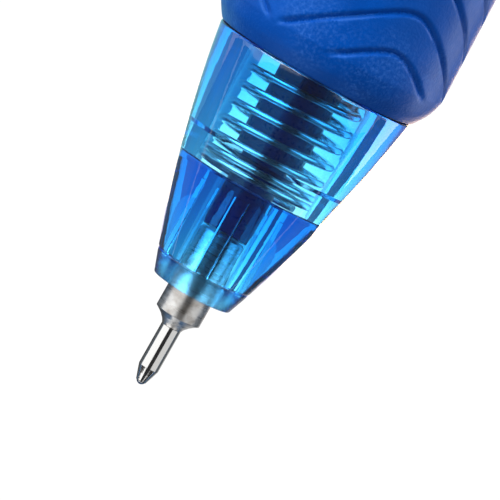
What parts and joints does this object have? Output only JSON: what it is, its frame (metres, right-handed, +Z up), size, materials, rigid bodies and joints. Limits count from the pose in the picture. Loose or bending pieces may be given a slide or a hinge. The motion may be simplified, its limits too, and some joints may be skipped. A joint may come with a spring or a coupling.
{
  "type": "retractable gel pen",
  "caption": "Click-action gel pen with a see-through nose cone and return spring, a soft grip with arched grooves, a pocket clip and a refill that slides out and in.",
  "frame": {"origin": "under the middle of the pen's bounding box, on the surface that the pen lies on", "axes": "+Z up; the pen's axis lies along X, 6.07 mm above the surface, with the writing tip towards -X and the push button towards +X"},
  "size_m": [0.1366, 0.0144, 0.0121],
  "materials": {
    "tinted_plastic": "clear blue polycarbonate, polished",
    "grip_rubber": "soft satin rubber with a faint bloom",
    "nickel_silver": "turned nickel silver",
    "carbide": "polished carbide",
    "spring_steel": "drawn wire, bright",
    "navy_plastic": "moulded, satin",
    "refill_tube": "milky clear polypropylene",
    "ink": "blue gel ink",
    "grease": "clear follower grease",
    "seal_rubber": "black rubber",
    "white_acetal": "natural acetal",
    "blue_plastic": "moulded, semi-gloss",
    "chrome": "bright plate"
  },
  "bodies": {
    "barrel": {"barrel": "tinted_plastic", "grip_sleeve": "grip_rubber", "cam_guide": "white_acetal", "trim_ring": "chrome", "rear_collar": "blue_plastic", "return_spring": "spring_steel"},
    "nose_seal": {"nose_seal": "seal_rubber"},
    "nose_cone": {"nose_cone": "tinted_plastic"},
    "refill": {"tip_socket": "nickel_silver", "tip_spring": "spring_steel", "tip_holder": "navy_plastic", "ink_tube": "refill_tube", "ink_column": "ink", "ink_follower": "grease", "refill_tail": "white_acetal"},
    "writing_ball": {"writing_ball": "carbide"},
    "rotor": {"rotor": "white_acetal"},
    "button": {"thrust_cam": "white_acetal", "push_button": "blue_plastic"},
    "clip": {"clip": "chrome"}
  },
  "joints": [
    {"name": "refill_slide", "type": "slide", "parent": "barrel", "child": "refill", "axis": [-1, 0, 0], "range_m": [-0.0055, 0.0012], "deforming": ["return_spring"]},
    {"name": "button_press", "type": "slide", "parent": "barrel", "child": "button", "axis": [-1, 0, 0], "range_m": [-0.0055, 0.0012]},
    {"name": "rotor_index", "type": "hinge", "parent": "refill", "child": "rotor", "pos_m": [0.0335, 0.0011, 0.00607], "axis": [1, 0, 0], "continuous": true},
    {"name": "ball_roll", "type": "hinge", "parent": "refill", "child": "writing_ball", "pos_m": [-0.06803, 0.0011, 0.00607], "axis": [0, 1, 0], "continuous": true},
    {"name": "nose_thread_travel", "type": "slide", "parent": "barrel", "child": "nose_seal", "axis": [-1, 0, 0], "range_m": [0, 0.0045]},
    {"name": "nose_unscrew", "type": "hinge", "parent": "nose_seal", "child": "nose_cone", "pos_m": [-0.049, 0.0011, 0.00607], "axis": [-1, 0, 0], "range_deg": [0, 1080]},
    {"name": "clip_flex", "type": "hinge", "parent": "barrel", "child": "clip", "pos_m": [0.05307, -0.00423, 0.00292], "axis": [0, -0.5087, 0.861], "range_deg": [0, 8], "stiffness_Nm_per_rad": 1.8}
  ],
  "couplings": [
    {"joint": "button_press", "follows": "refill_slide", "ratio": 1},
    {"joint": "nose_unscrew", "follows": "nose_thread_travel", "rad_per_m": 4188.8}
  ]
}
